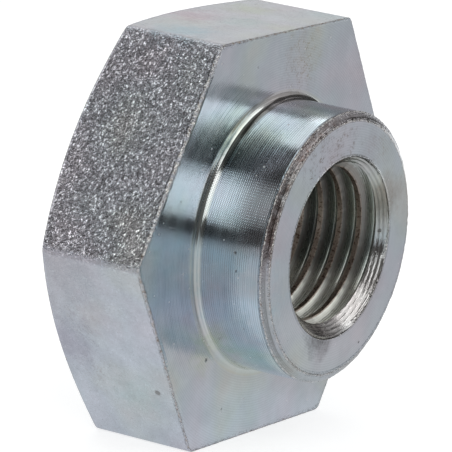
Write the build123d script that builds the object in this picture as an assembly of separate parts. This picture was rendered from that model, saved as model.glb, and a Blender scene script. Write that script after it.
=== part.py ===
from build123d import *
from build123d.topology import SkipClean
from math import ceil, cos, radians, tan
import os

# Hex weld nut, one piece: turned from hexagonal steel bar, tapped and zinc plated.
# The round boss drops into the hole of the sheet or tube that the nut is welded to,
# and the flat shoulder round the boss seats on the metal. The thread runs through.
# All sizes are in mm and degrees.
#
# The nut stands on one flat of its hexagon: +Z is up, the bore runs along Y and the
# boss points along -Y. The origin is on the bore's axis, in the plane of the shoulder.
# It is drawn with its axis upright, boss on top, and laid over as the last step.

# hexagonal body
ACROSS_FLATS = 36.0
HEX_LENGTH = 11.4             # shoulder to rear face
BAR_EDGE_RADIUS = 0.8         # rounded long edges of the rolled bar
REAR_FACE_DIAMETER = 34.4     # round rear face, inside the chamfer of the six corners
REAR_CHAMFER_ANGLE = 23.0     # between the chamfer and the rear face

# boss
BOSS_DIAMETER = 24.0
BOSS_LENGTH = 7.1             # shoulder to boss end
BOSS_CHAMFER_RADIAL = 0.75
BOSS_CHAMFER_AXIAL = 0.5
ROOT_BAND_LENGTH = 0.8        # tapered band that the tool's nose leaves next to the shoulder
ROOT_BAND_RISE = 0.12         # how far the band stands out where it meets the shoulder

# thread: ISO metric, right hand, one start
THREAD_DIAMETER = 16.0
THREAD_PITCH = 2.0
THREAD_ANGLE = 60.0           # between two flanks
THREAD_START = 266.0          # where round the axis the groove runs out of the boss end
COUNTERSINK_DIAMETER = 16.2
COUNTERSINK_ANGLE = 90.0      # between opposite walls

# sizes that follow from these
TOTAL_LENGTH = HEX_LENGTH + BOSS_LENGTH
BOSS_RADIUS = BOSS_DIAMETER / 2
MAJOR_RADIUS = THREAD_DIAMETER / 2
FLANK_SLOPE = tan(radians(THREAD_ANGLE / 2))
THREAD_DEPTH = THREAD_PITCH / 2 / FLANK_SLOPE * 5 / 8
MINOR_RADIUS = MAJOR_RADIUS - THREAD_DEPTH


def hexagonal_body():
    """Length of rounded hexagonal bar, its six rear corners turned off by one cone."""
    outline = RegularPolygon(ACROSS_FLATS / 2, 6, major_radius=False)
    outline = fillet(outline.vertices(), BAR_EDGE_RADIUS)
    bar = extrude(outline, -HEX_LENGTH)
    corner = ACROSS_FLATS / 2 / cos(radians(30))
    face = REAR_FACE_DIAMETER / 2
    rise = (corner - face) * tan(radians(REAR_CHAMFER_ANGLE))
    turned = Polyline(
        (0, 0, 0),
        (corner, 0, 0),
        (corner, 0, rise - HEX_LENGTH),
        (face, 0, -HEX_LENGTH),
        (0, 0, -HEX_LENGTH),
        close=True,
    )
    return bar & revolve(make_face(turned), Axis.Z)


def boss():
    """Round boss: tapered band at its root, straight wall, chamfer round its end."""
    section = Polyline(
        (0, 0, 0),
        (BOSS_RADIUS + ROOT_BAND_RISE, 0, 0),
        (BOSS_RADIUS, 0, ROOT_BAND_LENGTH),
        (BOSS_RADIUS, 0, BOSS_LENGTH - BOSS_CHAMFER_AXIAL),
        (BOSS_RADIUS - BOSS_CHAMFER_RADIAL, 0, BOSS_LENGTH),
        (0, 0, BOSS_LENGTH),
        close=True,
    )
    return revolve(make_face(section), Axis.Z)


def countersink():
    """Cone that opens the mouth of the bore, its wide end in the XY plane."""
    mouth = COUNTERSINK_DIAMETER / 2
    depth = (mouth - MINOR_RADIUS) / tan(radians(COUNTERSINK_ANGLE / 2))
    section = Polyline((0, 0, 0), (mouth, 0, 0), (MINOR_RADIUS, 0, -depth), (0, 0, -depth), close=True)
    return revolve(make_face(section), Axis.Z)


def bore_sectors():
    """The tapping bore as eight equal sectors, which share the walls between them.

    Cut one after the other they leave a bore wall of eight patches, so that the
    crest of the thread is a chain of short faces and not one strip many turns long.
    """
    span = 360 / 8
    sector = Cylinder(MINOR_RADIUS, TOTAL_LENGTH, arc_size=span,
                      align=(Align.NONE, Align.NONE, Align.MIN))
    first = THREAD_START + span / 2
    return [Pos(0, 0, -HEX_LENGTH) * Rot(0, 0, first + step * span) * sector for step in range(8)]


def groove_lengths():
    """The groove between the thread's crests, in half turns laid end to end.

    The section is the basic profile: flat at the major diameter, one eighth of the
    pitch wide, and widening along both flanks to a little inside the tapping bore.
    The helix starts one pitch behind the rear face and ends one past the boss end.
    """
    inside = MINOR_RADIUS - THREAD_PITCH / 12
    root = THREAD_PITCH / 16
    mouth = root + (MAJOR_RADIUS - inside) * FLANK_SLOPE
    section = Polyline(
        (inside, 0, -mouth),
        (MAJOR_RADIUS, 0, -root),
        (MAJOR_RADIUS, 0, root),
        (inside, 0, mouth),
        close=True,
    )
    half_turn = sweep(make_face(section), Helix(THREAD_PITCH, THREAD_PITCH / 2, inside), is_frenet=True)
    count = 2 * ceil(TOTAL_LENGTH / THREAD_PITCH + 2)
    lengths = []
    for step in range(count):
        height = BOSS_LENGTH + THREAD_PITCH - (step + 1) * THREAD_PITCH / 2
        angle = THREAD_START + 360 * (height - BOSS_LENGTH) / THREAD_PITCH
        lengths.append(Pos(0, 0, height) * Rot(0, 0, angle) * half_turn)
    return lengths


def weld_nut():
    """The whole nut with its axis upright: shoulder in the XY plane, boss on top."""
    nut = hexagonal_body() + boss()
    nut -= Pos(0, 0, BOSS_LENGTH) * countersink()
    nut -= Pos(0, 0, -HEX_LENGTH) * Rot(180, 0, 0) * countersink()
    with SkipClean():
        for cutter in bore_sectors() + groove_lengths():
            nut -= cutter
    return nut


os.makedirs("parts", exist_ok=True)
export_step(Rot(90, 0, 0) * weld_nut(), "parts/weld_nut.step")
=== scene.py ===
import bpy
import math
import numpy as np
from mathutils import Matrix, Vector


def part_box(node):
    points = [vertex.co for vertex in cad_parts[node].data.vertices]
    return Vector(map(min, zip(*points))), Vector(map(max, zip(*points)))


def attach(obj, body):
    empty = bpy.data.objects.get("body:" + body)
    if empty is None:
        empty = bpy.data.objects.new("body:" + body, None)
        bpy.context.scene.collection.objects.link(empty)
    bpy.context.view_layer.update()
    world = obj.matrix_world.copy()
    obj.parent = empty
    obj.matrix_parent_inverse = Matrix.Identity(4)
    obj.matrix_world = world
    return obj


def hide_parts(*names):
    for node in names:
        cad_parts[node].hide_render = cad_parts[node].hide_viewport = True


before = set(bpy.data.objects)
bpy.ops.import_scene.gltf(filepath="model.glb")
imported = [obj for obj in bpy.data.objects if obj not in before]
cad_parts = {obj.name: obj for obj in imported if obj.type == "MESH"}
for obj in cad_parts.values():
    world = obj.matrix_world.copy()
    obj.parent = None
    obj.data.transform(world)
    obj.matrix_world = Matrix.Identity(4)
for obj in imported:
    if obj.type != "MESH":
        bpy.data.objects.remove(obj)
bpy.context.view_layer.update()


# ---------------------------------------------------------------------------
# The bar. Hot rolled hexagonal steel bar, 36 mm across the flats, faced and parted
# off in a lathe. Its long edges come rounded from the rolls and its flats keep the
# rolled grain under the zinc. Sizes are in mm; the bore runs along Y, boss at -Y.
# ---------------------------------------------------------------------------
APOTHEM = 18.0
BAR_EDGE_RADIUS = 0.8
HEX_LENGTH = 11.4
REAR_FACE_RADIUS = 17.2
REAR_CONE_SLOPE = math.tan(math.radians(23.0))
FRONT_EDGE_BREAK = 0.11
SIDE_COLUMNS = 80
CORNER_COLUMNS = 10
CORNER_SPAN = math.radians(1.5)
LONG_EDGE_SPAN = math.radians(1.5)
COARSE_FLAT = (math.cos(math.radians(150.0)), 0.0, math.sin(math.radians(150.0)))
GRAIN_DEPTH = 0.66
FLAT_STAINS = (
    ((-8.0, 5.5, 18.0), 5.0, (0.79, 0.96, 1.0), 0.0),
    ((0.0, 4.6, 18.0), 4.2, (0.88, 1.0, 0.96), 0.0),
    ((-1.5, 8.8, 18.0), 4.8, (1.0, 0.83, 0.87), 0.0),
    ((0.5, 0.8, 18.0), 3.2, (1.0, 1.0, 0.89), 0.0),
    ((5.5, 7.5, 18.0), 4.0, (0.97, 1.0, 0.84), 0.0),
    ((9.0, 2.0, 18.0), 4.0, (0.91, 0.99, 0.98), 0.0),
    ((-17.5, 6.0, -6.0), 4.0, (1.0, 0.94, 0.95), 0.0),
    ((-13.0, 4.0, -13.0), 4.0, (0.90, 0.99, 0.98), 0.0),
    ((-14.2, 7.5, -11.5), 5.0, (0.84, 0.80, 0.78), 0.8),
    ((-16.8, 8.5, -7.0), 4.0, (0.86, 0.83, 0.80), 0.8),
    ((-15.6, 10.0, -9.0), 5.5, (0.80, 0.80, 0.83), 0.0),
)


def column_angles():
    """Angles round the bore: even along each flat and closer over each rounded corner."""
    corner = np.linspace(-CORNER_SPAN, CORNER_SPAN, CORNER_COLUMNS)
    flat = np.linspace(CORNER_SPAN, math.pi / 3 - CORNER_SPAN, SIDE_COLUMNS - CORNER_COLUMNS + 2)[1:-1]
    side = np.concatenate([corner, flat])
    return (side[None, :] + np.arange(6)[:, None] * math.pi / 3).ravel()


PHI = column_angles()
COLUMNS = len(PHI)
ROUND = np.ones(COLUMNS)


def hexagon_radius(inset):
    """Distance from the axis to the bar's outline, moved in by inset, at each column.

    Along a flat it is the apothem over the cosine of the angle from the flat's middle.
    Within a corner it is where the ray meets the corner's arc.
    """
    apothem = APOTHEM - inset
    arc = np.maximum(BAR_EDGE_RADIUS - inset, 0.05)
    off_corner = (PHI + math.pi / 6) % (math.pi / 3) - math.pi / 6
    flat = apothem / np.cos(math.pi / 6 - np.abs(off_corner))
    centre = (apothem - arc) / math.cos(math.pi / 6)
    reach = np.sqrt(np.maximum(arc**2 - (centre * np.sin(off_corner)) ** 2, 0.0))
    tangent = np.arctan2(arc * 0.5, centre + arc * math.cos(math.pi / 6))
    return np.where(np.abs(off_corner) < tangent, centre * np.cos(off_corner) + reach, flat)


def ragged(seed, soften=0):
    """A random number from -1 to 1 for each column, averaged with its neighbours."""
    values = np.random.default_rng(seed).normal(0.0, 0.55, COLUMNS)
    for _ in range(soften):
        values = (np.roll(values, 1) + 2 * values + np.roll(values, -1)) / 3.0
    return np.clip(values, -1.0, 1.0)


def bar_rows():
    """Rows of (radius, y, edge) from the rim of the rear face to the front edge of the flats.

    Each row is a closed line round the bar, and edge is 1 on a broken edge and 0 away from it.
    A cone turns off the six rear corners: its y falls with the radius, so it leaves each flat
    in a hyperbola. Small arcs join the face to the cone, the cone to the flats and the flats
    to the shoulder.
    """
    full = hexagon_radius(0.0)
    cone_end = HEX_LENGTH - (full - REAR_FACE_RADIUS) * REAR_CONE_SLOPE
    rows = [
        ((REAR_FACE_RADIUS - 0.03) * ROUND, (HEX_LENGTH - 0.004) * ROUND, 1.0),
        ((REAR_FACE_RADIUS + 0.04) * ROUND, (HEX_LENGTH - 0.022) * ROUND, 1.0),
        ((REAR_FACE_RADIUS + 0.12) * ROUND, (HEX_LENGTH - 0.053) * ROUND, 0.4),
    ]
    for share in (0.25, 0.5, 0.75):
        radius = REAR_FACE_RADIUS + 0.12 + (full - 0.22 - REAR_FACE_RADIUS) * share
        rows.append((radius, HEX_LENGTH - (radius - REAR_FACE_RADIUS) * REAR_CONE_SLOPE, 0.0))
    wander = 0.03 * ragged(11)
    rows.append((full - 0.10, cone_end + 0.10 * REAR_CONE_SLOPE, 0.5))
    rows.append((full - 0.035, cone_end - 0.005 + wander * 0.4, 1.0))
    rows.append((hexagon_radius(0.006), cone_end - 0.06 + wander, 1.0))
    rows.append((full, cone_end - 0.14 + wander, 0.5))
    worn_side = np.maximum(np.cos(PHI - math.radians(150.0)), 0.0) ** 4
    edge = FRONT_EDGE_BREAK * (1.0 + 0.4 * ragged(12)) * (0.75 + 1.4 * worn_side)
    start = cone_end - 0.22
    for share in np.linspace(0.0, 1.0, 15):
        rows.append((full, start + (edge + 0.16 - start) * share, 0.0))
    rows.append((full, edge + 0.07, 0.45))
    for turn in np.radians((0.0, 22.0, 45.0, 68.0, 90.0)):
        rows.append((hexagon_radius(edge * (1 - math.cos(turn))), edge * (1 - math.sin(turn)), 1.0))
    rows.append((hexagon_radius(edge + 0.07), 0.0 * ROUND, 0.45))
    off_corner = (PHI + math.pi / 6) % (math.pi / 3) - math.pi / 6
    long_edge = 0.62 * np.exp(-((off_corner / LONG_EDGE_SPAN) ** 2))
    return [(radius, y, np.maximum(worn, long_edge)) for radius, y, worn in rows]


# Grain, tint, specks and edge wear are the same effects all over the nut, so each is
# a node group, built once here and placed in every finish with its own values.
def add(tree, kind, inputs=None, **settings):
    """A node of that kind with its settings.

    An input given as a socket is linked, and any other is set.
    """
    made = tree.nodes.new(kind)
    for name, value in settings.items():
        setattr(made, name, value)
    for name, value in (inputs or {}).items():
        if isinstance(value, bpy.types.NodeSocket):
            tree.links.new(value, made.inputs[name])
        else:
            made.inputs[name].default_value = value
    return made


def maths(tree, operation, *values):
    """A Math node on one to three values."""
    return add(tree, "ShaderNodeMath", dict(enumerate(values)), operation=operation).outputs[0]


def mixed(tree, way, amount, first, second):
    """A colour Mix node: way is its blend type."""
    inputs = {0: amount, 6: first, 7: second}
    return add(tree, "ShaderNodeMix", inputs, data_type="RGBA", blend_type=way).outputs[2]


def eased(tree, value, low, high, start=0.0, end=1.0):
    """A smooth step of value between low and high, put between start and end."""
    inputs = {"Value": value, "From Min": low, "From Max": high, "To Min": start, "To Max": end}
    return add(tree, "ShaderNodeMapRange", inputs, interpolation_type="SMOOTHSTEP").outputs["Result"]


def noise(tree, place, scale, detail=2.0, rough=0.5):
    """A Noise Texture's value, mostly 0.3 to 0.7."""
    inputs = {"Vector": place, "Scale": scale, "Detail": detail, "Roughness": rough}
    return add(tree, "ShaderNodeTexNoise", inputs).outputs[0]


def cells(tree, place, scale, feature="F1"):
    """A Voronoi Texture: its Distance and its random Color for each cell."""
    inputs = {"Vector": place, "Scale": scale}
    return add(tree, "ShaderNodeTexVoronoi", inputs, feature=feature).outputs


def times(tree, vector, factor):
    """A vector times a number."""
    inputs = {0: vector, "Scale": factor}
    return add(tree, "ShaderNodeVectorMath", inputs, operation="SCALE").outputs[0]


def vectors(tree, operation, first, second, output=0):
    """A Vector Math node on two vectors."""
    made = add(tree, "ShaderNodeVectorMath", {0: first, 1: second}, operation=operation)
    return made.outputs[output]


def shades(tree, value, stops):
    """A colour ramp from (position, colour) stops."""
    ramp = add(tree, "ShaderNodeValToRGB", {"Fac": value})
    while len(ramp.color_ramp.elements) < len(stops):
        ramp.color_ramp.elements.new(0.5)
    for element, (position, colour) in zip(ramp.color_ramp.elements, stops):
        element.position = position
        element.color = (*colour, 1.0)
    return ramp.outputs["Color"]


def new_effect(name, inputs, outputs):
    """An empty node group, with its input sockets and its output node."""
    tree = bpy.data.node_groups.new(name, "ShaderNodeTree")
    for label, kind, value in inputs:
        kind = "NodeSocket" + kind
        socket = tree.interface.new_socket(name=label, in_out="INPUT", socket_type=kind)
        if value is not None:
            socket.default_value = value
    for label, kind in outputs:
        kind = "NodeSocket" + kind
        tree.interface.new_socket(name=label, in_out="OUTPUT", socket_type=kind)
    return tree, tree.nodes.new("NodeGroupInput").outputs, tree.nodes.new("NodeGroupOutput")


def put_out(tree, node, **values):
    """Links values to the group's outputs by name."""
    for name, value in values.items():
        tree.links.new(value, node.inputs[name])


def plating_tint():
    """Faint colours of bright zinc plating, which drift over the surface, and its clouding."""
    tree, given, out = new_effect(
        "plating_tint",
        [("Place", "Vector", None), ("Drift", "Float", 9.0), ("Amount", "Float", 0.5)],
        [("Tint", "Color"), ("Cloud", "Float")],
    )
    drift = maths(tree, "DIVIDE", 1.0, given["Drift"])
    colours = shades(
        tree,
        noise(tree, given["Place"], drift, 2.5, 0.45),
        [
            (0.28, (1.0, 0.93, 0.97)),
            (0.42, (0.93, 0.95, 1.0)),
            (0.52, (0.88, 0.97, 1.0)),
            (0.61, (0.90, 1.0, 0.95)),
            (0.74, (1.0, 0.98, 0.88)),
        ],
    )
    tint = mixed(tree, "MIX", given["Amount"], (1, 1, 1, 1), colours)
    cloud = noise(tree, given["Place"], maths(tree, "MULTIPLY", drift, 3.1), 3.0, 0.6)
    put_out(tree, out, Tint=tint, Cloud=cloud)
    return tree


def surface_specks():
    """Small dark pits and dirt: a few cells of a fine lattice each hold one ragged spot."""
    tree, given, out = new_effect(
        "surface_specks",
        [("Place", "Vector", None), ("Spacing", "Float", 1.2), ("Share", "Float", 0.15)],
        [("Mask", "Float")],
    )
    lattice = maths(tree, "DIVIDE", 1.0, given["Spacing"])
    found = cells(tree, given["Place"], lattice)
    ragged_edge = noise(tree, given["Place"], 9.0, 2.0)
    chance = add(tree, "ShaderNodeSeparateColor", {0: found["Color"]}).outputs
    chosen = maths(tree, "LESS_THAN", chance[0], given["Share"])
    radius = maths(tree, "MULTIPLY", maths(tree, "ADD", chance[1], 0.35), 0.13)
    shape = maths(tree, "ADD", found["Distance"], maths(tree, "MULTIPLY", ragged_edge, 0.10))
    spot = eased(tree, maths(tree, "SUBTRACT", shape, radius), 0.0, 0.09, 1.0, 0.0)
    put_out(tree, out, Mask=maths(tree, "MULTIPLY", spot, chosen))
    return tree


def edge_wear():
    """Bare bright metal and burrs along an edge: the edge attribute broken up by fine noise."""
    tree, given, out = new_effect(
        "edge_wear",
        [("Edge", "Float", 0.0), ("Place", "Vector", None), ("Reach", "Float", 0.5)],
        [("Mask", "Float"), ("Height", "Float"), ("Shade", "Color")],
    )
    coarse = noise(tree, given["Place"], 2.6, 3.0, 0.65)
    fine = noise(tree, given["Place"], 4.5, 2.0, 0.6)
    swing = maths(tree, "MULTIPLY", maths(tree, "SUBTRACT", coarse, 0.5), 1.6)
    broken = maths(tree, "ADD", given["Edge"], swing)
    mask = eased(tree, broken, maths(tree, "SUBTRACT", 1.25, given["Reach"]), 1.25)
    bare = noise(tree, given["Place"], 4.4, 2.0, 0.6)
    shade = shades(
        tree,
        bare,
        [(0.36, (0.34, 0.28, 0.25)), (0.45, (0.86, 0.83, 0.81)), (0.54, (1.0, 0.98, 0.96))],
    )
    height = maths(tree, "MULTIPLY", fine, given["Edge"])
    put_out(tree, out, Mask=mask, Height=height, Shade=shade)
    return tree


def rolled_grain():
    """Grain of the rolled flats: small crooked facets, each tilted its own way.

    A facet's height is its own random direction times the place measured from its middle.
    Some facets are also picked out, as a mask for painted glints.
    """
    tree, given, out = new_effect(
        "rolled_grain",
        [("Place", "Vector", None), ("Grain", "Float", 0.22)],
        [("Height", "Float"), ("Fleck", "Float")],
    )
    lattice = maths(tree, "DIVIDE", 1.0, given["Grain"])
    middle = (0.5, 0.5, 0.5)
    inputs = {"Vector": given["Place"], "Scale": lattice, "Detail": 1.0}
    wobble = add(tree, "ShaderNodeTexNoise", inputs).outputs[1]
    wobble = vectors(tree, "SUBTRACT", wobble, middle)
    wobble = times(tree, wobble, maths(tree, "MULTIPLY", given["Grain"], 1.6))
    crooked = vectors(tree, "ADD", given["Place"], wobble)
    facets = cells(tree, crooked, lattice)
    local = vectors(tree, "SUBTRACT", crooked, facets["Position"])
    lean = vectors(tree, "SUBTRACT", facets["Color"], middle)
    tilt = vectors(tree, "DOT_PRODUCT", local, lean, "Value")
    chance = add(tree, "ShaderNodeSeparateColor", {0: facets["Color"]}).outputs
    painted_glint = maths(tree, "MULTIPLY", eased(tree, chance[1], 0.35, 0.9),
                  eased(tree, facets["Distance"], 0.65, 0.2))
    ridges = noise(tree, given["Place"], maths(tree, "MULTIPLY", lattice, 0.8), 2.0, 0.6)
    height = maths(tree, "ADD", maths(tree, "MULTIPLY", tilt, 0.55),
                   maths(tree, "MULTIPLY", ridges, maths(tree, "MULTIPLY", given["Grain"], 0.60)))
    put_out(tree, out, Height=height, Fleck=painted_glint)
    return tree


def old_stain():
    """A stain left by draining plating fluid: a patch about a place, its outline broken by noise."""
    tree, given, out = new_effect(
        "old_stain",
        [
            ("Place", "Vector", None),
            ("Middle", "Vector", None),
            ("Reach", "Float", 3.0),
            ("Broken", "Float", 0.0),
        ],
        [("Mask", "Float")],
    )
    away = vectors(tree, "DISTANCE", given["Place"], given["Middle"], "Value")
    share = maths(tree, "DIVIDE", away, given["Reach"])
    outline = maths(tree, "ADD", share, noise(tree, given["Place"], 0.9, 4.0, 0.65))
    small = eased(tree, noise(tree, given["Place"], 5.0, 4.0, 0.75), 0.47, 0.62)
    large = eased(tree, noise(tree, given["Place"], 1.3, 2.0, 0.6), 0.42, 0.58)
    crumbs = maths(tree, "MULTIPLY", small, large)
    crumbs = maths(tree, "ADD", crumbs, maths(tree, "SUBTRACT", 1.0, given["Broken"]))
    crumbs = maths(tree, "MINIMUM", crumbs, 1.0)
    put_out(tree, out, Mask=maths(tree, "MULTIPLY", eased(tree, outline, 1.35, 0.55), crumbs))
    return tree


TINT = plating_tint()
SPECKS = surface_specks()
WEAR = edge_wear()
GRAIN = rolled_grain()
STAIN = old_stain()


def placed(tree, group, **inputs):
    """The outputs of a node group, placed in tree with its own values."""
    return add(tree, "ShaderNodeGroup", inputs, node_tree=group).outputs


def new_finish(name):
    """A metal material: itself, its tree and shader, the place in mm and the edge mask."""
    material = bpy.data.materials.new(name)
    material.use_nodes = True
    tree = material.node_tree
    shader = tree.nodes["Principled BSDF"]
    shader.inputs["Metallic"].default_value = 1.0
    place = times(tree, add(tree, "ShaderNodeTexCoord").outputs["Object"], 1000.0)
    edge = add(tree, "ShaderNodeAttribute", attribute_name="edge").outputs["Fac"]
    return material, tree, shader, place, edge


def finish_surface(tree, shader, colour, roughness, height):
    """Links colour, roughness and a height in mm to the shader."""
    tree.links.new(colour, shader.inputs["Base Color"])
    tree.links.new(roughness, shader.inputs["Roughness"])
    bump = add(tree, "ShaderNodeBump", {"Strength": 1.0, "Distance": 0.001, "Height": height})
    tree.links.new(bump.outputs[0], shader.inputs["Normal"])


def stained(tree, place, zinc, stains):
    """The colour zinc with stains laid over it.

    Each stain has a place, a reach, a colour to multiply by and a broken share.
    """
    for middle, reach, colour, broken in stains:
        stain = placed(tree, STAIN, Place=place, Middle=middle, Reach=reach, Broken=broken)
        zinc = mixed(tree, "MULTIPLY", stain["Mask"], zinc, (*colour, 1.0))
    return zinc


def rolled_zinc():
    """Zinc over the rolled grain of the bar's flats, with the burrs along their edges.

    One flat took the coarsest grain from the rolls. Its strength is a smooth step of how
    far the place lies towards that flat.
    """
    material, tree, shader, place, edge = new_finish("rolled_zinc")
    tint = placed(tree, TINT, Place=place, Drift=8.0, Amount=0.5)
    grain = placed(tree, GRAIN, Place=place, Grain=0.23)
    wear = placed(tree, WEAR, Edge=edge, Place=place, Reach=0.45)
    specks = placed(tree, SPECKS, Place=place, Spacing=1.7, Share=0.03)
    towards = vectors(tree, "DOT_PRODUCT", place, COARSE_FLAT, "Value")
    coarse = eased(tree, towards, APOTHEM - 0.7, APOTHEM - 0.2, 0.22, 1.0)
    zinc = mixed(tree, "MULTIPLY", 1.0, (0.75, 0.755, 0.795, 1.0), tint["Tint"])
    zinc = times(tree, zinc, eased(tree, tint["Cloud"], 0.3, 0.7, 0.93, 1.06))
    # The coarse flat's grain tone, with painted glints: picked facets made brighter than full reflectance.
    grain_with_painted_glint = mixed(tree, "MIX", grain["Fleck"], (0.86, 0.83, 0.84, 1.0), (1.25, 1.22, 1.21, 1.0))
    zinc = mixed(tree, "MULTIPLY", coarse, zinc, grain_with_painted_glint)
    zinc = stained(tree, place, zinc, FLAT_STAINS)
    dirt = maths(tree, "MULTIPLY", specks["Mask"], 0.6)
    zinc = mixed(tree, "MIX", dirt, zinc, (0.16, 0.14, 0.12, 1.0))
    finer = maths(tree, "SUBTRACT", 1.0, coarse)
    worn = mixed(tree, "MULTIPLY", finer, wear["Shade"], (0.50, 0.43, 0.39, 1.0))
    zinc = mixed(tree, "MIX", wear["Mask"], zinc, worn)
    roughness = eased(tree, tint["Cloud"], 0.3, 0.7, 0.17, 0.24)
    height = maths(tree, "MULTIPLY", maths(tree, "MULTIPLY", grain["Height"], coarse), GRAIN_DEPTH)
    height = maths(tree, "ADD", height, maths(tree, "MULTIPLY", wear["Height"], 0.15))
    finish_surface(tree, shader, zinc, roughness, height)
    return material


# ---------------------------------------------------------------------------
# The shoulder and the boss. The shoulder is faced and the round boss turned down
# from the bar in the same chucking, so both carry fine circular tool marks; the
# tool's nose leaves a small fillet and a very shallow groove where the two meet.
# ---------------------------------------------------------------------------
BOSS_RADIUS = 12.0
BOSS_LENGTH = 7.1
CHAMFER_RADIAL = 0.75
CHAMFER_AXIAL = 0.5
ROOT_FILLET = 0.64
FILLET_STEPS = 15
CHAMFER_ROWS = 8
END_FACE_ROWS = 8
REAR_RIM_ROWS = 6
CHATTER_COUNT = 300
CHATTER_WAY = (math.cos(math.radians(154.0)), 0.0, math.sin(math.radians(154.0)))
ROOT_BAND_WAY = (math.cos(math.radians(114.0)), 0.0, math.sin(math.radians(114.0)))
SCORED_PLACES = (
    ((-8.6, -0.5, 9.9), 7.0, (0.52, 0.60, 0.62)),
    ((-13.4, 0.0, -4.4), 10.0, (0.80, 0.85, 0.88)),
)
TURNED_STAINS = (
    ((3.6, 0.0, 16.0), 4.8, (1.0, 0.94, 0.84), 0.5),
    ((2.6, 0.0, 14.8), 4.8, (0.63, 0.54, 0.44), 1.0),
    ((-9.1, 0.0, 9.3), 2.6, (0.45, 0.50, 0.50), 0.3),
    ((-12.5, -2.0, 0.5), 9.0, (0.92, 1.0, 0.985), 0.0),
    ((-1.5, -4.5, 11.9), 4.5, (0.89, 1.0, 0.97), 0.0),
    ((-11.5, -4.0, -3.5), 6.5, (0.91, 1.0, 1.05), 0.0),
    ((-9.5, -1.0, -9.2), 3.5, (0.93, 1.0, 0.82), 0.0),
    ((-8.2, -4.0, -8.8), 4.0, (0.86, 1.0, 0.98), 0.0),
    ((-2.0, 0.0, -16.5), 6.0, (0.96, 1.0, 0.97), 0.0),
    ((-4.3, -7.1, 8.3), 4.6, (0.50, 0.43, 0.37), 1.0),
    ((-0.6, -7.1, 8.9), 4.2, (0.55, 0.48, 0.42), 1.0),
    ((5.0, -7.1, 8.2), 4.0, (0.84, 0.78, 0.74), 0.8),
    ((-1.9, -6.6, -7.2), 3.8, (0.22, 0.20, 0.19), 0.3),
    ((7.3, -6.9, 3.4), 3.8, (0.74, 0.66, 0.61), 0.3),
)
# Painted dark reflections, laid on the boss's chamfer as brown stains over its upper left and left.
CHAMFER_PAINTED_DARK_REFLECTIONS = (
    ((-6.9, -6.9, 9.3), 14.0, (0.34, 0.26, 0.23), 0.35),
    ((-11.2, -6.9, 3.4), 6.2, (0.34, 0.27, 0.24), 0.15),
)


def face_rows():
    """Rows of the rear face, from the mouth of the bore out to its rim."""
    radii = (8.35, 9.2, 10.4, 11.6, 12.8, 14.0, 15.2, 16.2, 16.9)
    rows = [(8.1 * ROUND, HEX_LENGTH * ROUND, 1.0), (8.18 * ROUND, HEX_LENGTH * ROUND, 0.5)]
    rows += [(radius * ROUND, HEX_LENGTH * ROUND, 0.0) for radius in radii]
    rows.append(((REAR_FACE_RADIUS - 0.10) * ROUND, HEX_LENGTH * ROUND, 0.4))
    return rows


def shoulder_rows():
    """Rows from the flats' front edge in to the fillet at the boss's root.

    The radius runs evenly from the hexagon to a circle.
    """
    outer = hexagon_radius(FRONT_EDGE_BREAK + 0.35)
    inner = BOSS_RADIUS + ROOT_FILLET + 0.12
    return [(outer + (inner - outer) * share, 0.0 * ROUND, 0.0) for share in np.linspace(0.0, 1.0, 8)]


def boss_rows():
    """Rows along the boss from the fillet at its root to the mouth of the bore.

    The fillet is a quarter circle, the path of the tool's nose, and a fine groove ends it.
    Then come the straight wall, a broken edge, the chamfer with its second broken edge, and
    the flat end.
    """
    chamfer_start = BOSS_LENGTH - CHAMFER_AXIAL
    land = BOSS_RADIUS - CHAMFER_RADIAL
    uneven = 0.05 * ragged(21, 1)
    rows = []
    for turn in np.linspace(0.0, math.pi / 2, FILLET_STEPS):
        radius = BOSS_RADIUS + ROOT_FILLET * (1 - math.sin(turn))
        rows.append((radius * ROUND, -ROOT_FILLET * (1 - math.cos(turn)) * ROUND, 0.0))
    rows += [
        ((BOSS_RADIUS - 0.006) * ROUND, -(ROOT_FILLET + 0.07) * ROUND, 0.0),
        ((BOSS_RADIUS - 0.005) * ROUND, -(ROOT_FILLET + 0.14) * ROUND, 0.0),
        (BOSS_RADIUS * ROUND, -(ROOT_FILLET + 0.22) * ROUND, 0.0),
    ]
    for y in np.linspace(ROOT_FILLET + 0.35, chamfer_start - 0.22, 6):
        rows.append((BOSS_RADIUS * ROUND, -y * ROUND, 0.0))
    rows += [
        (BOSS_RADIUS * ROUND, -(chamfer_start - 0.09) * ROUND + uneven, 0.6),
        ((BOSS_RADIUS - 0.012) * ROUND, -(chamfer_start - 0.01) * ROUND + uneven, 1.0),
        ((BOSS_RADIUS - 0.065) * ROUND, -(chamfer_start + 0.045) * ROUND + uneven * 0.7, 1.0),
        ((BOSS_RADIUS - 0.16) * ROUND, -(chamfer_start + 0.107) * ROUND, 0.6),
        ((land + 0.30) * ROUND, -(BOSS_LENGTH - 0.20) * ROUND, 0.0),
        ((land + 0.13) * ROUND + uneven, -(BOSS_LENGTH - 0.087) * ROUND, 0.6),
        ((land + 0.045) * ROUND + uneven, -(BOSS_LENGTH - 0.025) * ROUND, 1.0),
        ((land - 0.03) * ROUND + uneven, -(BOSS_LENGTH - 0.003) * ROUND, 1.0),
        ((land - 0.11) * ROUND, -BOSS_LENGTH * ROUND, 0.5),
    ]
    for radius in (10.9, 10.3, 9.7, 9.1, 8.6, 8.3):
        rows.append((radius * ROUND, -BOSS_LENGTH * ROUND, 0.0))
    rows.append((8.18 * ROUND, -BOSS_LENGTH * ROUND, 0.5))
    rows.append((8.1 * ROUND, -BOSS_LENGTH * ROUND, 1.0))
    return rows


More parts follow.
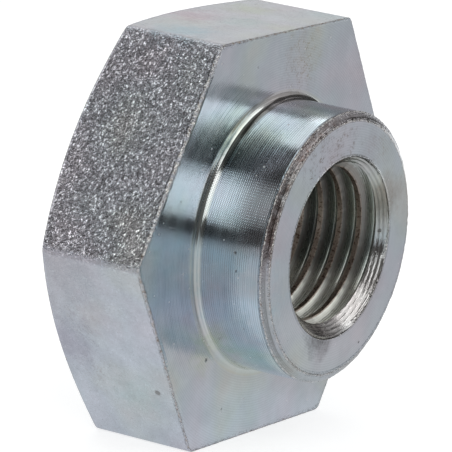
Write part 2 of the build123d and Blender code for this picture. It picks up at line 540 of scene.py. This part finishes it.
def turning_marks():
    """Tool marks: a wave at the tool's feed, uneven ridges round the axis, and chatter."""
    tree, given, out = new_effect(
        "turning_marks",
        [
            ("Across", "Float", 0.0),
            ("Around", "Vector", None),
            ("Feed", "Float", 0.2),
            ("Chatter", "Float", 0.0),
        ],
        [("Height", "Float"), ("Line", "Float"), ("Streak", "Float")],
    )
    turns = maths(tree, "DIVIDE", given["Across"], given["Feed"])
    way = add(tree, "ShaderNodeSeparateXYZ", {0: given["Around"]}).outputs
    sideways = maths(tree, "MULTIPLY", way[0], 2.0)
    upwards = maths(tree, "MULTIPLY", way[2], 2.0)
    long = add(tree, "ShaderNodeCombineXYZ", {0: turns, 1: sideways, 2: upwards}).outputs[0]
    fine = noise(tree, long, 1.3, 3.0, 0.7)
    broad = noise(tree, long, 0.23, 2.0, 0.5)
    wave = maths(tree, "SINE", maths(tree, "MULTIPLY", turns, 2 * math.pi))
    angle = maths(tree, "ARCTAN2", way[2], way[0])
    beat = maths(tree, "SINE", maths(tree, "MULTIPLY", angle, CHATTER_COUNT))
    weave = maths(tree, "MULTIPLY", maths(tree, "MULTIPLY", wave, beat), given["Chatter"])
    line = maths(tree, "ADD", wave, maths(tree, "MULTIPLY", maths(tree, "SUBTRACT", fine, 0.5), 2.5))
    line = maths(tree, "ADD", line, maths(tree, "MULTIPLY", weave, 2.0))
    height = maths(tree, "ADD", fine, maths(tree, "MULTIPLY", wave, 0.15))
    height = maths(tree, "ADD", height, maths(tree, "MULTIPLY", weave, 0.45))
    put_out(tree, out, Height=height, Line=eased(tree, line, -1.6, 1.6), Streak=broad)
    return tree


MARKS = turning_marks()


def turned_zinc(name, along_axis, colour, marks_depth, feed, groove, stains=TURNED_STAINS):
    """Zinc over tool marks, counted along the axis on the boss and out from it on the faces."""
    material, tree, shader, place, edge = new_finish(name)
    x, y, z = add(tree, "ShaderNodeSeparateXYZ", {0: place}).outputs
    flat_place = add(tree, "ShaderNodeCombineXYZ", {0: x, 2: z}).outputs[0]
    out_from_axis = add(tree, "ShaderNodeVectorMath", {0: flat_place}, operation="LENGTH").outputs["Value"]
    around = add(tree, "ShaderNodeVectorMath", {0: flat_place}, operation="NORMALIZE").outputs[0]
    near = vectors(tree, "DOT_PRODUCT", around, CHATTER_WAY, "Value")
    chatter = eased(tree, near, 0.965, 0.992) if along_axis else 0.0
    across = y if along_axis else out_from_axis
    marks = placed(tree, MARKS, Across=across, Around=around, Feed=feed, Chatter=chatter)
    tint = placed(tree, TINT, Place=place, Drift=8.0, Amount=0.8)
    wear = placed(tree, WEAR, Edge=edge, Place=place, Reach=0.5)
    specks = placed(tree, SPECKS, Place=place, Spacing=1.5, Share=0.10)
    zinc = mixed(tree, "MULTIPLY", 1.0, (*colour, 1.0), tint["Tint"])
    zinc = times(tree, zinc, eased(tree, tint["Cloud"], 0.3, 0.7, 0.95, 1.04))
    # Painted shade in the tool marks' grooves: groove is the share of colour kept at a groove's darkest,
    # and chatter darkens it further.
    depth = maths(tree, "MULTIPLY_ADD", chatter, 0.22, 1.0 - groove)
    shadow = maths(tree, "MULTIPLY", maths(tree, "SUBTRACT", 1.0, marks["Line"]), depth)
    zinc = times(tree, zinc, maths(tree, "SUBTRACT", 1.0, shadow))
    zinc = stained(tree, place, zinc, stains)
    for middle, reach, score in SCORED_PLACES:
        scored = placed(tree, STAIN, Place=place, Middle=middle, Reach=reach)["Mask"]
        scored = maths(tree, "MULTIPLY", scored, eased(tree, marks["Height"], 0.50, 0.36))
        zinc = mixed(tree, "MULTIPLY", scored, zinc, (*score, 1.0))
    if along_axis:
        # A darker brown band over the lower fillet and the fine groove at the boss's root, within about 15
        # degrees of 114 degrees round the axis.
        outer, inner = eased(tree, y, -1.15, -0.75), eased(tree, y, -0.30, -0.45)
        by_root = maths(tree, "MULTIPLY", outer, inner)
        root_band = vectors(tree, "DOT_PRODUCT", around, ROOT_BAND_WAY, "Value")
        root_band = maths(tree, "MULTIPLY", by_root, eased(tree, root_band, 0.968, 0.99))
        zinc = mixed(tree, "MULTIPLY", root_band, zinc, (0.36, 0.33, 0.30, 1.0))
    dust = placed(tree, SPECKS, Place=place, Spacing=0.6, Share=0.16)
    bright = maths(tree, "MULTIPLY", dust["Mask"], 0.8)
    zinc = mixed(tree, "MIX", bright, zinc, (1.0, 1.0, 1.0, 1.0))
    dark = maths(tree, "MULTIPLY", specks["Mask"], 0.75)
    zinc = mixed(tree, "MIX", dark, zinc, (0.12, 0.11, 0.10, 1.0))
    zinc = mixed(tree, "MIX", wear["Mask"], zinc, wear["Shade"])
    roughness = eased(tree, marks["Streak"], 0.3, 0.7, 0.10, 0.17)
    roughness = maths(tree, "MULTIPLY_ADD", dust["Mask"], 0.4, roughness)
    height = maths(tree, "MULTIPLY", marks["Height"], marks_depth)
    height = maths(tree, "SUBTRACT", height, maths(tree, "MULTIPLY", specks["Mask"], 0.03))
    height = maths(tree, "ADD", height, maths(tree, "MULTIPLY", wear["Height"], 0.18))
    finish_surface(tree, shader, zinc, roughness, height)
    return material


# ---------------------------------------------------------------------------
# The thread. M16 x 2, right hand, tapped right through after turning; the tap tears
# the crests a little. A 90 degree countersink opens each mouth of the bore.
# ---------------------------------------------------------------------------
PITCH = 2.0
MAJOR_RADIUS = 8.0
MINOR_RADIUS = 6.9175
THREAD_START = math.radians(266.0)
MOUTH_RADIUS = 8.1
FLANK = math.tan(math.radians(30.0))


def thread_profile():
    """One pitch in a half plane through the axis, as (along the axis, radius) points.

    Lengths along the axis count from the groove's middle.
    From the middle of one crest, down a flank to the root, over it, and up the next flank
    to the middle of the next crest, which is the first point again one pitch on.
    """
    crest = 3 / 8 * PITCH
    root = PITCH / 16
    deep = MAJOR_RADIUS - MINOR_RADIUS
    points = [(-PITCH / 2, MINOR_RADIUS), (-crest - 0.03, MINOR_RADIUS)]
    points += [(-crest + 0.02, MINOR_RADIUS + 0.06)]
    points += [(-root - deep * share * FLANK, MAJOR_RADIUS - deep * share) for share in (0.5, 0.06)]
    points += [(-root * 0.6, MAJOR_RADIUS), (root * 0.6, MAJOR_RADIUS)]
    points += [(root + deep * share * FLANK, MAJOR_RADIUS - deep * share) for share in (0.06, 0.5)]
    points += [(crest - 0.02, MINOR_RADIUS + 0.06), (crest + 0.03, MINOR_RADIUS)]
    return np.array(points)


def thread_grid():
    """The bore's wall as (columns, steps) arrays of height towards the boss, radius and torn edge.

    At each column the profile is repeated every pitch, and it moves along the axis by one
    pitch in a full turn. Steps run towards the boss end. Past either mouth's cone the wall
    is the cone, whose radius grows as the height does, and past its rim it is the rim. A
    step next to where the wall meets the cone is moved on to that crossing.
    """
    profile = thread_profile()
    steps = len(profile)
    turns = np.arange(-12, 4)
    lead = BOSS_LENGTH + PITCH * (PHI - THREAD_START) / (2 * math.pi)
    along = (turns[:, None] * PITCH + profile[None, :, 0]).ravel()
    height = lead[:, None] + along[None, :]
    radius = np.broadcast_to(np.tile(profile[:, 1], len(turns)), height.shape).copy()
    torn = np.zeros_like(height)
    chips = np.random.default_rng(31).normal(0.0, 1.0, (COLUMNS, len(turns)))
    for _ in range(3):
        chips = (np.roll(chips, 1, axis=0) + chips + np.roll(chips, -1, axis=0)) / 3.0
    chips = np.clip(chips * 2.0, -0.6, 1.5)
    for step, amount in ((1, 0.6), (2, 1.0), (9, 1.0), (10, 0.6)):
        torn[:, step::steps] = 1.0
        radius[:, step::steps] += chips * 0.025 * amount
    wall = np.ones_like(height, dtype=bool)
    for mouth, way in ((BOSS_LENGTH, 1.0), (-HEX_LENGTH, -1.0)):
        lift = radius - (MOUTH_RADIUS - (mouth - height) * way)
        for here, there in ((slice(1, None), slice(None, -1)), (slice(None, -1), slice(1, None))):
            hidden, shown = lift[:, here], lift[:, there]
            cross = (hidden < 0) & (shown >= 0)
            share = np.where(cross, hidden / np.where(cross, hidden - shown, 1.0), 0.0)
            height[:, here] += (height[:, there] - height[:, here]) * share
            radius[:, here] += (radius[:, there] - radius[:, here]) * share
        cone = MOUTH_RADIUS - (mouth - height) * way
        on_cone = radius <= cone + 1e-6
        wall &= ~on_cone
        torn = np.where(on_cone, 0.0, torn)
        radius = np.maximum(radius, np.minimum(cone, MOUTH_RADIUS))
        past = (height - mouth) * way >= -1e-6
        height = np.where(past, mouth, height)
        radius = np.where(past, MOUTH_RADIUS, radius)
    return height, radius, torn, wall, steps


def cut_thread_zinc():
    """Zinc on the cut flanks: dark and even towards the root, paler and torn towards the crest."""
    material, tree, shader, place, edge = new_finish("cut_thread_zinc")
    x, y, z = add(tree, "ShaderNodeSeparateXYZ", {0: place}).outputs
    flat_place = add(tree, "ShaderNodeCombineXYZ", {0: x, 2: z}).outputs[0]
    out_from_axis = add(tree, "ShaderNodeVectorMath", {0: flat_place}, operation="LENGTH").outputs["Value"]
    around = add(tree, "ShaderNodeVectorMath", {0: flat_place}, operation="NORMALIZE").outputs[0]
    marks = placed(tree, MARKS, Across=out_from_axis, Around=around, Feed=0.16)
    tint = placed(tree, TINT, Place=place, Drift=7.0, Amount=0.6)
    ragged_line = maths(tree, "SUBTRACT", noise(tree, place, 2.2, 3.0, 0.6), 0.5)
    ragged_line = maths(tree, "MULTIPLY", ragged_line, 0.5)
    reach = maths(tree, "ADD", out_from_axis, ragged_line)
    to_crest = eased(tree, reach, 7.62, 7.30)
    on_crest = eased(tree, out_from_axis, 7.02, 6.95)
    zinc = mixed(tree, "MULTIPLY", 1.0, (0.67, 0.68, 0.65, 1.0), tint["Tint"])
    zinc = mixed(tree, "MIX", to_crest, zinc, (0.49, 0.475, 0.45, 1.0))
    # Painted shade: the wall darkens deeper into the bore from the boss end's mouth.
    zinc = times(tree, zinc, eased(tree, y, -6.5, 1.0, 1.0, 0.62))
    # Painted highlight: the wall's lowest part, below the axis, is mixed towards near white.
    zinc = mixed(tree, "MIX", eased(tree, z, -3.0, -5.2), zinc, (0.95, 0.95, 0.90, 1.0))
    # Painted shade along the tool marks' furrows.
    furrow_painted_shade = maths(tree, "MULTIPLY", maths(tree, "SUBTRACT", 1.0, marks["Line"]), 0.35)
    zinc = mixed(tree, "MULTIPLY", furrow_painted_shade, zinc, (0.55, 0.55, 0.52, 1.0))
    torn = placed(tree, WEAR, Edge=maths(tree, "MULTIPLY", edge, 0.8), Place=place, Reach=0.5)
    crest = mixed(tree, "MULTIPLY", 1.0, torn["Shade"], (0.52, 0.45, 0.40, 1.0))
    zinc = mixed(tree, "MIX", maths(tree, "MAXIMUM", on_crest, torn["Mask"]), zinc, crest)
    roughness = maths(tree, "ADD", 0.26, maths(tree, "MULTIPLY", to_crest, 0.08))
    height = maths(tree, "MULTIPLY", marks["Height"], 0.010)
    finish_surface(tree, shader, zinc, roughness, height)
    return material


# ---------------------------------------------------------------------------
# The nut in one piece. It is a single closed skin: the rows above from the rear
# mouth of the bore round the outside to the front mouth, and the bore's wall
# between the two mouths. It stands for the CAD solid and rides on its body.
# ---------------------------------------------------------------------------
ROLLED, FACED, FILLET, BOSS_WALL, CHAMFER, COUNTERSINK, THREAD = range(7)


def outside_skin():
    """The outer rows as points in mm, edge values, quads and a finish for each quad.

    A quad joins two neighbouring columns of two neighbouring rows, the last column to the
    first one. Going on to the next column and then to the next row turns outwards.
    """
    sections = [
        (face_rows(), FACED),
        (bar_rows(), ROLLED),
        (shoulder_rows(), FACED),
        (boss_rows(), BOSS_WALL),
    ]
    rows = [row for section, _ in sections for row in section]
    radius = np.array([row[0] for row in rows])
    y = np.array([row[1] for row in rows])
    edge = np.array([row[2] * ROUND for row in rows])
    points = np.stack([radius * np.cos(PHI), y, radius * np.sin(PHI)], axis=-1).reshape(-1, 3)
    index = np.arange(len(rows) * COLUMNS).reshape(len(rows), COLUMNS)
    after = np.roll(index, -1, axis=1)
    quads = np.stack([index[:-1], after[:-1], after[1:], index[1:]], axis=-1).reshape(-1, 4)
    finish = np.concatenate([np.full(len(section), kind) for section, kind in sections])[1:]
    bar_start = len(sections[0][0])
    finish[bar_start - 1:bar_start + REAR_RIM_ROWS] = FACED
    boss_start = len(rows) - len(sections[3][0])
    finish[boss_start - 1:boss_start + FILLET_STEPS - 1] = FILLET
    finish[-CHAMFER_ROWS - END_FACE_ROWS:-END_FACE_ROWS] = CHAMFER
    finish[-END_FACE_ROWS:] = FACED
    return points, edge.ravel(), quads, np.repeat(finish, COLUMNS), index


def bore_skin(first, front_rim, rear_rim):
    """The bore's wall as points in mm, edge values, triangles and finishes.

    The last column joins the first one a pitch further on. Steps that lie on a rim are
    that rim's own points, and triangles that this leaves without area are dropped.
    """
    height, radius, torn, wall, steps = thread_grid()
    across, up = radius * np.cos(PHI)[:, None], radius * np.sin(PHI)[:, None]
    points = np.stack([across, -height, up], axis=-1)
    index = first + np.arange(height.size).reshape(height.shape)
    at_rim = radius >= MOUTH_RADIUS - 1e-9
    index = np.where(at_rim & (height > 0), front_rim[:, None], index)
    index = np.where(at_rim & (height < 0), rear_rim[:, None], index)
    count = height.shape[1]
    onward = np.minimum(np.arange(count) + steps, count - 1)
    after = np.concatenate([index[1:], index[:1, onward]])
    wall_after = np.concatenate([wall[1:], wall[:1, onward]])
    near, far = index[:, :-1], index[:, 1:]
    near_after, far_after = after[:, :-1], after[:, 1:]
    triangles = np.concatenate([
        np.stack([near, far, far_after], axis=-1).reshape(-1, 3),
        np.stack([near, far_after, near_after], axis=-1).reshape(-1, 3),
    ])
    on_wall = wall[:, :-1] | wall[:, 1:] | wall_after[:, :-1] | wall_after[:, 1:]
    finish = np.where(np.tile(on_wall.ravel(), 2), THREAD, COUNTERSINK)
    a, b, c = triangles.T
    keep = (a != b) & (b != c) & (c != a)
    return points.reshape(-1, 3), torn.ravel(), triangles[keep], finish[keep]


def nut_mesh():
    """Both skins as one mesh in metres, with an edge attribute and a finish on each face."""
    outer_points, outer_edge, quads, quad_finish, index = outside_skin()
    bore = bore_skin(len(outer_points), index[-1], index[0])
    bore_points, bore_edge, triangles, triangle_finish = bore
    points = np.concatenate([outer_points, bore_points])
    edge = np.concatenate([outer_edge, bore_edge])
    corners = np.concatenate([quads.ravel(), triangles.ravel()])
    used, where = np.unique(corners, return_inverse=True)
    sizes = np.concatenate([np.full(len(quads), 4), np.full(len(triangles), 3)])
    starts = np.concatenate([[0], np.cumsum(sizes)[:-1]])
    finish = np.concatenate([quad_finish, triangle_finish])
    mesh = bpy.data.meshes.new("weld_nut_zinc")
    mesh.vertices.add(len(used))
    mesh.vertices.foreach_set("co", (points[used] * 0.001).astype(np.float32).ravel())
    mesh.loops.add(len(where))
    mesh.loops.foreach_set("vertex_index", where.astype(np.int32).ravel())
    mesh.polygons.add(len(sizes))
    mesh.polygons.foreach_set("loop_start", starts.astype(np.int32))
    mesh.polygons.foreach_set("material_index", finish.astype(np.int32))
    worn = mesh.attributes.new("edge", "FLOAT", "POINT")
    worn.data.foreach_set("value", edge[used].astype(np.float32))
    mesh.update(calc_edges=True)
    mesh.validate()
    mesh.shade_smooth()
    mesh.set_sharp_from_angle(angle=math.radians(38.0))
    return mesh


nut = bpy.data.objects.new("weld_nut_zinc", nut_mesh())
bpy.context.scene.collection.objects.link(nut)
for finish in (
    rolled_zinc(),
    turned_zinc("faced_zinc", False, (0.785, 0.78, 0.805), 0.004, 0.22, 0.91),
    turned_zinc("fillet_zinc", True, (0.80, 0.78, 0.75), 0.002, 0.21, 0.95),
    turned_zinc("boss_zinc", True, (0.765, 0.785, 0.82), 0.008, 0.21, 0.76),
    turned_zinc("chamfer_zinc", False, (0.75, 0.73, 0.74), 0.012, 0.12, 0.85, CHAMFER_PAINTED_DARK_REFLECTIONS),
    turned_zinc("countersink_zinc", False, (0.82, 0.80, 0.77), 0.058, 0.27, 0.68),
    cut_thread_zinc(),
):
    nut.data.materials.append(finish)
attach(nut, "root")
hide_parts("weld_nut")


# --------------------------------------------------------------------------- The floor: a pale studio table that glows with painted light. It isn't part of the object.
# The floor: a plain pale studio table. It isn't part of the object.
# ---------------------------------------------------------------------------
def grid_quads(index):
    """The quads of a grid of point numbers."""
    corners = [index[:-1, :-1], index[:-1, 1:], index[1:, 1:], index[1:, :-1]]
    return np.stack(corners, axis=-1).reshape(-1, 4)


def floor_grid(reach, across):
    """A square sheet just under the nut: an even grid, flat at the height of its lowest point."""
    line = np.linspace(-reach, reach, across + 1)
    x, y = np.meshgrid(line, line)
    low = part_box("weld_nut")[0].z - 0.00002
    points = np.stack([x, y, np.full_like(x, low)], axis=-1).reshape(-1, 3)
    index = np.arange(points.shape[0]).reshape(across + 1, across + 1)
    mesh = bpy.data.meshes.new("studio_floor")
    mesh.from_pydata(points.tolist(), [], grid_quads(index).tolist())
    return mesh


floor = bpy.data.objects.new("studio_floor", floor_grid(8.0, 8))
bpy.context.scene.collection.objects.link(floor)
pale = bpy.data.materials.new("floor_painted_glow")
pale.use_nodes = True
pale.node_tree.nodes.clear()
table = pale.node_tree
seen = add(table, "ShaderNodeLightPath").outputs["Is Camera Ray"]
spot = add(table, "ShaderNodeTexCoord").outputs["Object"]
# Painted light seen only by the metal: the floor glows brightest by the nut's base, has a painted dark
# patch in front, darkens far to the left and brightens to the back right. To the camera it glows evenly
# near white.
off_base = vectors(table, "DISTANCE", spot, (-0.006, 0.003, -0.018), "Value")
to_right, to_rear = add(table, "ShaderNodeSeparateXYZ", {0: spot}).outputs[:2]
to_back = vectors(table, "DOT_PRODUCT", spot, (0.5, 0.87, 0.0), "Value")
squeezed = vectors(table, "MULTIPLY", spot, (3.0, 0.75, 0.0))
off_painted_dark_patch = vectors(table, "DISTANCE", squeezed, (-0.003, -0.053, 0.0), "Value")
left, right = (0.27, 0.31, 0.34, 1.0), (0.24, 0.24, 0.25, 1.0)
away = mixed(table, "MIX", eased(table, to_right, -0.02, 0.03), left, right)
away = mixed(table, "MIX", eased(table, to_right, -0.10, -0.28), away, (0.10, 0.11, 0.12, 1.0))
front, rear = (0.38, 0.395, 0.42, 1.0), (0.44, 0.46, 0.485, 1.0)
close = mixed(table, "MIX", eased(table, to_rear, -0.008, -0.001), front, rear)
glow = away
for value, low, high, first, second in (
    (off_base, 0.040, 0.080, (0.31, 0.30, 0.30, 1.0), None),
    (off_base, 0.014, 0.028, close, None),
    (off_painted_dark_patch, 0.034, 0.052, (0.09, 0.09, 0.09, 1.0), None),
    (to_back, 0.03, 0.08, None, (0.80, 0.80, 0.80, 1.0)),
):
    glow = mixed(table, "MIX", eased(table, value, low, high), first or glow, second or glow)
glow = mixed(table, "MIX", seen, glow, (0.66, 0.66, 0.66, 1.0))
paint = mixed(table, "MIX", seen, (0.24, 0.245, 0.25, 1.0), (0.50, 0.50, 0.50, 1.0))
matt = add(table, "ShaderNodeBsdfDiffuse", {"Color": paint})
lit = add(table, "ShaderNodeEmission", {"Color": glow})
both = add(table, "ShaderNodeAddShader", {0: matt.outputs[0], 1: lit.outputs[0]})
add(table, "ShaderNodeOutputMaterial", {"Surface": both.outputs[0]})
floor.data.materials.append(pale)


# ---------------------------------------------------------------------------
# The light: soft boxes round the table with unlit gaps between them, a pale room that
# lights matt things only, and a dark card bent round the front that only the metal shows.
# ---------------------------------------------------------------------------
def soft_box(name, centre, across, size, brightness, colour=(1.0, 1.0, 1.0)):
    """A rectangular light facing the nut: across is the direction of its first side.

    Its power is pi times its area times the brightness that it shows.
    """
    data = bpy.data.lights.new(name, "AREA")
    data.shape = "RECTANGLE"
    data.size, data.size_y = size
    data.energy = math.pi * size[0] * size[1] * brightness
    data.color = colour
    light = bpy.data.objects.new(name, data)
    bpy.context.scene.collection.objects.link(light)
    back = np.array(centre, float) / np.linalg.norm(centre)
    right = np.array(across, float)
    right -= back * right.dot(back)
    right /= np.linalg.norm(right)
    top = np.cross(back, right)
    from_columns = np.eye(4)
    from_columns[:3] = np.column_stack([right, top, back, centre])
    light.matrix_world = Matrix(from_columns.tolist())
    light.visible_camera = False
    return light


FRONT_WAY = np.array([0.154, -0.678, 0.719])
FRONT_ACROSS = np.array([-0.921, -0.362, -0.144])
FRONT_DOWN = np.array([0.358, -0.640, -0.680])


def ring_place(angle, y, distance=0.6):
    """A point at that angle above +X, in degrees, seen along the bore, and y along it."""
    turn = math.radians(angle)
    return (distance * math.cos(turn), y, distance * math.sin(turn))


soft_box("left_box", ring_place(145.3, -0.17), (0, 1, 0), (0.78, 0.41), 1.30, (0.97, 1.0, 0.99))
soft_box("left_fill", ring_place(144, 0.47), (0, 1, 0), (0.50, 0.345), 0.30)
for name, across, up, width, height, brightness in (
    ("front_box_top", 0.01, -0.055, 0.63, 0.19, 1.30),
    ("front_box_middle", -0.05, 0.26, 0.46, 0.19, 0.95),
    ("front_box_foot", -0.19, 0.61, 0.27, 0.192, 0.70),
):
    centre = 0.6 * (FRONT_WAY + across * FRONT_ACROSS + up * FRONT_DOWN)
    soft_box(name, centre, FRONT_ACROSS, (width, height), brightness, (0.98, 1.0, 0.985))
soft_box("top_box", ring_place(64.4, 0.45), (0, 1, 0), (0.50, 0.532), 0.97, (0.92, 1.0, 0.995))
soft_box("top_fill", (0.06, -0.03, 0.60), (1, 0, 0), (0.60, 0.40), 0.08)
soft_box("back_box", (0.83, 0.78, 0.42), (-0.55, 0.83, 0), (1.56, 0.95), 0.595)
soft_box("front_fill", (0.446, -0.291, 0.464), FRONT_ACROSS, (0.21, 0.36), 0.27)
soft_box("right_fill", (0.53, -0.36, 0.20), (0.55, 0.83, 0), (0.42, 0.36), 0.28)


def front_card(radius, first, last, low, high):
    """A card standing on an arc about the nut: a grid of angle and height, in metres and degrees."""
    angles, heights = np.radians(np.linspace(first, last, 25)), np.linspace(low, high, 2)
    turn, height = np.meshgrid(angles, heights)
    points = np.stack([radius * np.cos(turn), radius * np.sin(turn), height], axis=-1).reshape(-1, 3)
    index = np.arange(points.shape[0]).reshape(turn.shape)
    mesh = bpy.data.meshes.new("front_card")
    mesh.from_pydata(points.tolist(), [], grid_quads(index).tolist())
    return mesh


card = bpy.data.objects.new("front_card", front_card(0.13, -125.0, -76.0, -0.018, 0.058))
bpy.context.scene.collection.objects.link(card)
# The card's paint: a painted dark reflection that glows faintly, darker towards its foot.
card_paint = bpy.data.materials.new("card_painted_dark_reflection")
card_paint.use_nodes = True
card_paint.node_tree.nodes.clear()
standing = add(card_paint.node_tree, "ShaderNodeTexCoord").outputs["Object"]
level = add(card_paint.node_tree, "ShaderNodeSeparateXYZ", {0: standing}).outputs[2]
shade = mixed(card_paint.node_tree, "MIX", eased(card_paint.node_tree, level, -0.012, 0.022),
              (0.060, 0.055, 0.053, 1.0), (0.140, 0.140, 0.135, 1.0))
card_glow = add(card_paint.node_tree, "ShaderNodeEmission", {"Color": shade})
add(card_paint.node_tree, "ShaderNodeOutputMaterial", {"Surface": card_glow.outputs[0]})
card.data.materials.append(card_paint)
card.visible_camera = card.visible_diffuse = card.visible_shadow = False

world = bpy.data.worlds.new("studio")
world.use_nodes = True
path = add(world.node_tree, "ShaderNodeLightPath").outputs
shown_to_metal, shown_to_matt = (0.050, 0.048, 0.047, 1.0), (0.50, 0.50, 0.51, 1.0)
room = mixed(world.node_tree, "MIX", path["Is Diffuse Ray"], shown_to_metal, shown_to_matt)
room = mixed(world.node_tree, "MIX", path["Is Camera Ray"], room, (0.95, 0.95, 0.955, 1.0))
world.node_tree.links.new(room, world.node_tree.nodes["Background"].inputs["Color"])
world.cycles.sampling_method = "NONE"
bpy.context.scene.world = world
bpy.context.scene.view_settings.view_transform = "Standard"


# ---------------------------------------------------------------------------
# The camera, a long lens from the left of the boss, a little above it.
# ---------------------------------------------------------------------------
lens = bpy.data.cameras.new("camera")
lens.lens = 384.2
lens.sensor_width = 36.0
lens.clip_start = 0.01
camera = bpy.data.objects.new("camera", lens)
bpy.context.scene.collection.objects.link(camera)
view_right = (0.54662, -0.83377, 0.07763)
view_up = (0.15161, 0.18972, 0.97006)
view_back = (-0.82354, -0.51849, 0.23011)
stand = (-0.349133, -0.215085, 0.097231)
camera.matrix_world = Matrix((*zip(view_right, view_up, view_back, stand), (0.0, 0.0, 0.0, 1.0)))
bpy.context.scene.camera = camera
